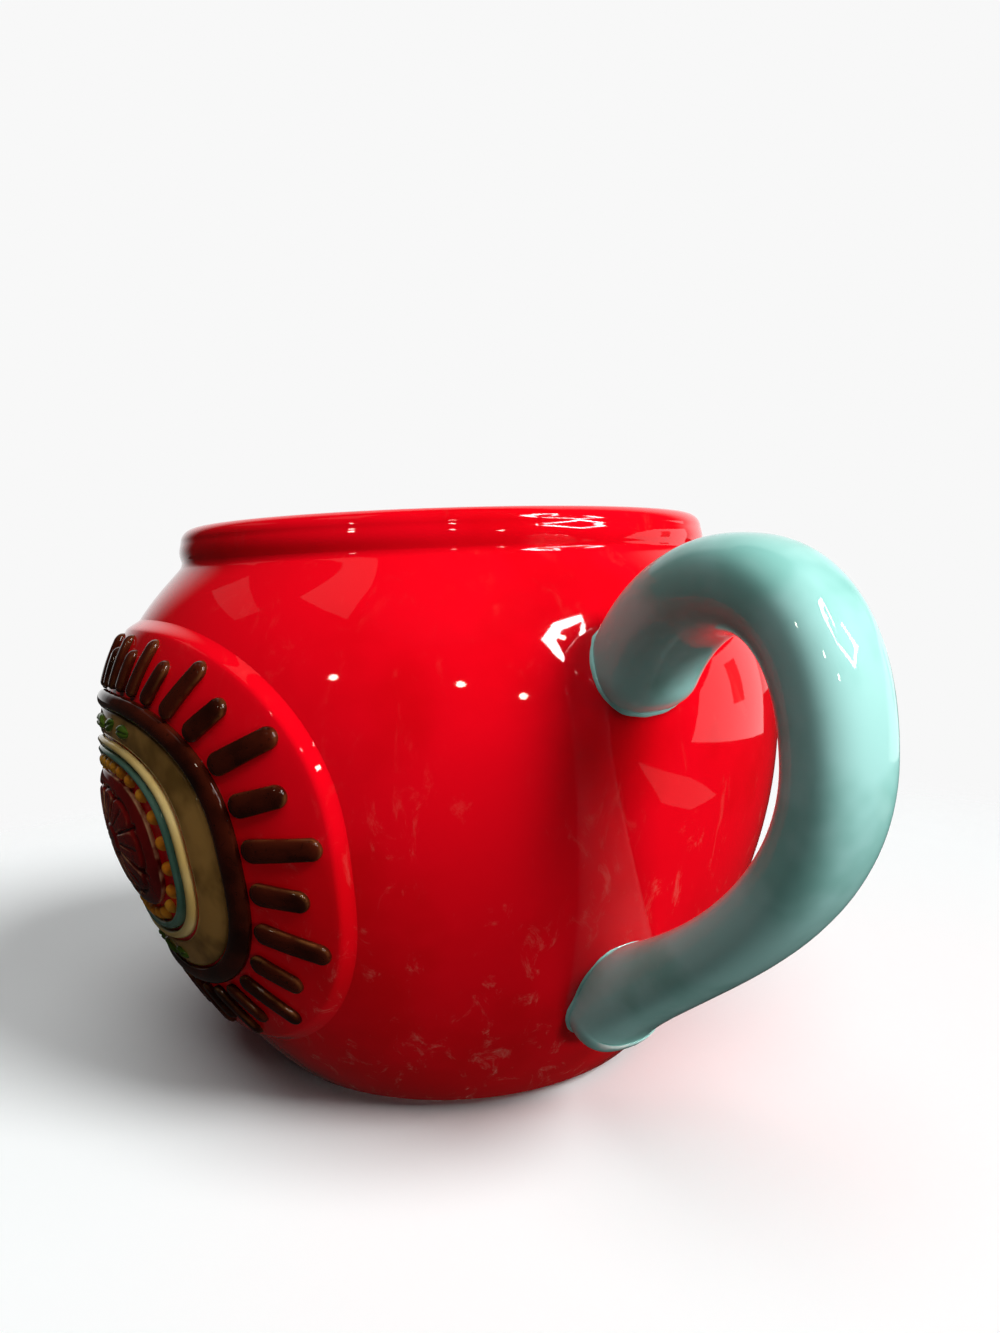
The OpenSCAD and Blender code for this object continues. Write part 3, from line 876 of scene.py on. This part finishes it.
def press(name, sides, section, ring=False):
    """Extrudes a circle through [share, height] pairs. A ring's section closes on itself."""
    sprig = start_piece(name, sides)
    share, high = section[0]
    bpy.ops.transform.resize(value=(share, share, 1), center_override=(0, 0, 0))
    bpy.ops.transform.translate(value=(0, 0, high * MM))
    for next_share, next_high in section[1:]:
        bpy.ops.mesh.extrude_region_move(
            TRANSFORM_OT_translate={"value": (0, 0, (next_high - high) * MM)})
        grow = next_share / share
        bpy.ops.transform.resize(value=(grow, grow, 1), center_override=(0, 0, 0))
        share, high = next_share, next_high
    bpy.ops.mesh.select_all(action="DESELECT")
    bpy.ops.mesh.select_non_manifold()
    if ring:
        bpy.ops.mesh.bridge_edge_loops()
    else:
        bpy.ops.mesh.merge(type="COLLAPSE")
    close_and_turn_out()
    return sprig


def round_section(shares, low, top, steps=10):
    """Section of a ring with a flat back, straight sides and a round front."""
    middle, half = (shares[0] + shares[1]) / 2, (shares[1] - shares[0]) / 2
    side = low + (top - low) * SIDE_SHARE
    front = [(middle + half * math.cos(a) * (1 + FULLNESS * math.sin(2 * a) ** 2),
              side + (top - side) * math.sin(a)) for a in np.linspace(0, math.pi, steps)]
    return [(shares[0], low), (middle, low), (shares[1], low)] + front


print("section of a ring:", len(round_section(BAND, 0, 1)), "points")

# %% Plinth
SET_IN, PLINTH_SIDES = 0.3, 200
EDGE, EDGE_SINK, BEVEL, MIDDLE = 1.012, 0.12, 0.955, 0.004

slope = [(EDGE - (EDGE - BEVEL) * t, (PLINTH_H + EDGE_SINK) * (t * t * (3 - 2 * t)) - EDGE_SINK)
         for t in np.linspace(0, 1, 12)]
back = [(t, -SET_IN) for t in (MIDDLE, 0.15, 0.3, 0.45, 0.6, 0.7, 0.8, 0.9, 0.98)]
front = [(BEVEL * t, PLINTH_H) for t in np.linspace(0.98, MIDDLE, 26)]
plinth = lay(press("relief_pad", PLINTH_SIDES, back + slope + front), 0.9)

# %% Rings and band
RING_SIDES = 180
low = PLINTH_H - SET_IN


def ring(name, section, reach):
    """Presses a ring from its closed section and lays it on the wall."""
    return lay(press(name, RING_SIDES, section, ring=True), reach)


teal_ring = ring("teal_stripe", round_section(TEAL, low, PLINTH_H + RING_H), 0.35)
cream_ring = ring("cream_stripe", round_section(CREAM, low, PLINTH_H + RING_H), 0.35)
band = ring("brown_band", round_section(BAND, low, PLINTH_H + BAND_H, 14), 0.4)

# %% Field, a flat ring that swells a little between its edges
FIELD_EDGE, FIELD_WIDE = 0.72, FIELD[1] - FIELD[0]

pillow = [(FIELD[0] + FIELD_WIDE * t,
           PLINTH_H + FIELD_T * (FIELD_EDGE + (1 - FIELD_EDGE) * math.sin(math.pi * t) ** 0.5))
          for t in np.linspace(1, 0, 16)]
field_back = [(FIELD[0] + FIELD_WIDE * t, low) for t in np.linspace(0, 1, 6)]
field = ring("tan_field", field_back + pillow, 0.35)

# %% [markdown]
# ## The rosette
# The middle of the medallion is a dome with a carved flower. Carving could be a sculpting job,
# but a mould's flower is regular, so the dome's points are lowered along grooves that a few
# sines describe, and the same rule carves it alike all round.

# %% Carved dome
PETALS, BOSS_SIDES = 10, 240
GROOVE_DEEP, VEIN_DEEP, TIP_DEEP, HEART_DEEP = 0.75, 0.25, 0.6, 0.65
HEART, TIP, BOSS_RIM = 0.235, 0.80, 0.28


def rosette(share, angle, high):
    """Height that the carving takes from each point of the dome, in millimetres below zero."""
    t = share / BOSS
    front = high > PLINTH_H
    petal = np.abs(np.cos(angle * PETALS / 2))
    within = np.clip((t - 0.24) / 0.1, 0, 1) * np.clip((0.86 - t) / 0.08, 0, 1)
    groove = np.exp(-(petal / 0.16) ** 2) * within
    vein = np.exp(-((1 - petal) / 0.012) ** 2) * within * np.clip((0.74 - t) / 0.1, 0, 1)
    tip = np.exp(-((t - TIP + 0.10 * (1 - petal) ** 2) / 0.028) ** 2)
    heart = np.exp(-((t - HEART) / 0.03) ** 2)
    depth = GROOVE_DEEP * groove + VEIN_DEEP * vein + TIP_DEEP * tip + HEART_DEEP * heart
    return -depth * front


boss_back = [(BOSS * t, low) for t in (0.01, 0.35, 0.7, 0.97)]
rim = BOSS_H * BOSS_RIM
boss_front = [(BOSS * math.cos(a), PLINTH_H + rim + (BOSS_H - rim) * math.sin(a))
              for a in np.linspace(0, 0.99 * math.pi / 2, 48)]
boss = lay(press("carved_boss", BOSS_SIDES, boss_back + boss_front), 1.1, rosette)

# %% [markdown]
# ## Rays, beads and leaves
# These repeat, so each is modelled once, flat, and copied. A ray is a finger with a round tip:
# a round button is pressed, and one half of it is moved away, which stretches the faces between
# the halves. Cuts across it let it bend with the wall.

# %% Press one finger and other buttons
HALVES_APART, FINGER_CUTS = 4, 6


def button(name, sides, section, length=0.0, cuts=0):
    """A small domed sprig of unit radius, stretched along X and cut across."""
    made = press(name, sides, section)
    if length:
        bpy.ops.object.mode_set(mode="EDIT")
        bpy.ops.mesh.select_all(action="DESELECT")
        bpy.ops.object.mode_set(mode="OBJECT")
        for point in made.data.vertices:
            point.select = point.co.x > SHORTEST * MM
        bpy.ops.object.mode_set(mode="EDIT")
        bpy.ops.transform.translate(value=(length, 0, 0))
        for k in range(1, cuts):
            bpy.ops.mesh.select_all(action="SELECT")
            bpy.ops.mesh.bisect(plane_co=(length * k / cuts, 0, 0), plane_no=(1, 0, 0))
        bpy.ops.object.mode_set(mode="OBJECT")
    return made


def dome(low, top, steps, square=0.5):
    """Section of a button: straight sides for a share of its height, then a round top."""
    rise = (top - low) * square
    return [(0.02, low), (0.6, low), (1, low)] + [
        (max(0.02, math.cos(a) ** 0.8), low + rise + (top - low - rise) * math.sin(a))
        for a in np.linspace(0, math.pi / 2, steps)]


def copies(master, name, places):
    """Copies the master for each place, a function from flat points to the wall, and joins them."""
    flat = read_points(master)
    bpy.ops.object.select_all(action="DESELECT")
    for place in places:
        made = master.copy()
        made.data = master.data.copy()
        bpy.context.collection.objects.link(made)
        put_points(made, place(flat))
        made.select_set(True)
        bpy.context.view_layer.objects.active = made
    bpy.ops.object.join()
    bpy.data.objects.remove(master)
    joined = bpy.context.object
    joined.name = name
    return joined


finger = button("finger", 26, dome(low, PLINTH_H + RAY_H, 7), HALVES_APART, FINGER_CUTS)
print("finger faces:", len(finger.data.polygons))

# %% Copy the rays
RAY_COUNT, RAY_WIDTH, RAY_TAPER = 36, 0.58, 0.05


def ray_place(index):
    """Place of one ray: its round ends keep their shape and its middle is stretched."""
    step = math.tau / RAY_COUNT
    angle = step * (index + 0.5)
    way = np.array([math.cos(angle), math.sin(angle)])
    tip = RAYS[1] if index % 2 == 0 else SHORT_RAY
    start, end = oval(RAYS[0], angle), oval(tip, angle)
    half = np.linalg.norm(start) * step * RAY_WIDTH / 2
    run = np.linalg.norm(end - start) - 2 * half

    def place(flat):
        x, y = flat[:, 0] * MM, flat[:, 1] * MM
        share = np.clip(x / HALVES_APART, 0, 1)
        ends = np.maximum(x - HALVES_APART, 0) + np.minimum(x, 0)
        out = share * run + ends * half + half
        aside = y * half * (1 - RAY_TAPER * share)
        spot = start + out[:, None] * way + aside[:, None] * (-way[1], way[0])
        return on_wall(np.c_[spot, flat[:, 2]])

    return place


rays_piece = copies(finger, "brown_rays", [ray_place(i) for i in range(RAY_COUNT)])
mark_relief(rays_piece, 0.7)
report(rays_piece)

# %% Copy the beads and the leaves
BEAD_COUNT, BEAD_R = 28, 1.15
LEAF_SHARE, LEAF_LEN, LEAF_W, LEAF_H, LEAF_TILT = 0.5375, 5.0, 2.2, 0.6, 66
LEAF_ANGLES = (62, 80, 100, 118)
LEAF_POINT, CREASE_DEEP, CREASE_WIDE = 0.35, 0.22, 0.16


def bead_place(index):
    """Place of one bead, on a ring of them."""
    centre = oval(BEADS, math.tau * (index + 0.5) / BEAD_COUNT)
    return lambda flat: on_wall(np.c_[flat[:, :2] * MM * BEAD_R + centre, flat[:, 2]])


def leaf_place(angle, tilt):
    """Place of one leaf, pointed and creased, at an angle of the medallion."""
    centre = oval(LEAF_SHARE, math.radians(angle))
    c, s = math.cos(math.radians(angle + tilt)), math.sin(math.radians(angle + tilt))

    def place(flat):
        x, y = flat[:, 0] * MM * LEAF_LEN / 2, flat[:, 1] * MM * LEAF_W / 2
        y = y * (1 - LEAF_POINT * (x * 2 / LEAF_LEN) ** 2)
        crease = CREASE_DEEP * np.exp(-(y / CREASE_WIDE) ** 2) * (flat[:, 2] > PLINTH_H + FIELD_T)
        return on_wall(np.c_[centre[0] + x * c - y * s, centre[1] + x * s + y * c, flat[:, 2] - crease])

    return place


ball = [(max(0.02, math.cos(a)), PLINTH_H + BEAD_R * math.sin(a)) for a in np.linspace(0, math.pi / 2, 9)]
bead = button("bead", 20, [(0.02, low), (0.6, low), (0.98, low)] + ball)
beads = copies(bead, "orange_beads", [bead_place(i) for i in range(BEAD_COUNT)])
leaf = button("leaf", 32, dome(PLINTH_H, PLINTH_H + FIELD_T + LEAF_H, 10, 0.45))
leaves = copies(leaf, "green_leaves", [
    leaf_place(angle + turn, LEAF_TILT if angle > 90 else -LEAF_TILT)
    for angle in LEAF_ANGLES for turn in (0, 180)])
for piece in (beads, leaves):
    mark_relief(piece, 0.3)
    report(piece)

# %% [markdown]
# ## Finishes and the frame
# Each piece gets its glaze, rides on the mug's one body, and stands for its CAD solid, which
# stays in the physics model.

# %% Finishes, riding and what each piece replaces
CLAY_BELOW = 0.35
CLAY, LINING = 1, 2
DRESSED = [
    (mug, red_glaze, "red_glaze", "body"),
    (handle, aqua_glaze, "aqua_glaze", "handle"),
    (upper_slip, aqua_glaze, "aqua_glaze", None),
    (lower_slip, aqua_glaze, "aqua_glaze", None),
    (plinth, red_glaze, "plinth_glaze", "relief_plinth"),
    (field, tan_glaze, "tan_glaze", "relief_field"),
    (band, brown_glaze, "brown_glaze", "relief_band"),
    (rays_piece, brown_glaze, "ray_glaze", "relief_rays"),
    (cream_ring, cream_glaze, "cream_glaze", "relief_cream_ring"),
    (teal_ring, teal_glaze, "teal_glaze", "relief_teal_ring"),
    (boss, deep_red_glaze, "deep_red_glaze", "relief_boss"),
    (beads, orange_glaze, "orange_glaze", "relief_beads"),
    (leaves, green_glaze, "green_glaze", "relief_leaves"),
]
for piece, finish, slot, solid in DRESSED:
    piece.data.materials.clear()
    piece.data.materials.append(finish)
    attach(piece, "root")
    if solid:
        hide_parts(solid)
mug.data.materials.append(bare_clay)
mug.data.materials.append(lining_glaze)
for face in mug.data.polygons:
    spot = face.center / MM
    if spot.z < CLAY_BELOW:
        face.material_index = CLAY
    elif spot.z > floor_z - 1 and math.hypot(spot.x, spot.y) < wall_r(spot.z) - WALL_T / 2:
        face.material_index = LINING
print("dressed pieces:", len(DRESSED))

# %% Update the scene
bpy.context.view_layer.update()
